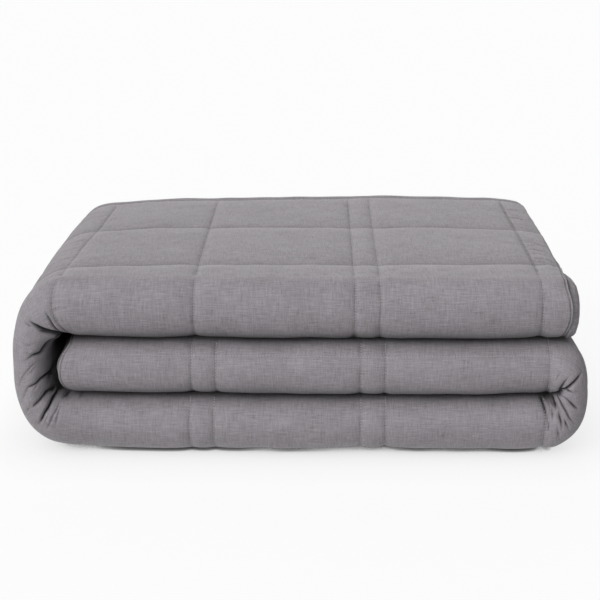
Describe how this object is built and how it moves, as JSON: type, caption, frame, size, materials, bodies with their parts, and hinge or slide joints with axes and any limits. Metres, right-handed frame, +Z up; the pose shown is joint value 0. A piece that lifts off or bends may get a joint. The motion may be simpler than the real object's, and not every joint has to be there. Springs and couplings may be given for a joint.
{
  "type": "folded quilted bedspread",
  "caption": "Padded quilted bedspread, folded lengthwise and then across into a thick flat stack, with rounded bends, stitched squares and loose hemmed ends.",
  "frame": {"origin": "middle of the folded stack's outline, on the surface that it lies on", "axes": "+X along the stack, from its large bend to its small bend and loose top end; -Y towards the closed folded front edge; +Z up"},
  "size_m": [0.679, 0.471, 0.2144],
  "materials": {
    "quilted_cloth": "matt mauve-grey slub weave with tone-on-tone quilting stitches"
  },
  "bodies": {
    "root": {"quilted_bedspread": "quilted_cloth"}
  },
  "joints": []
}
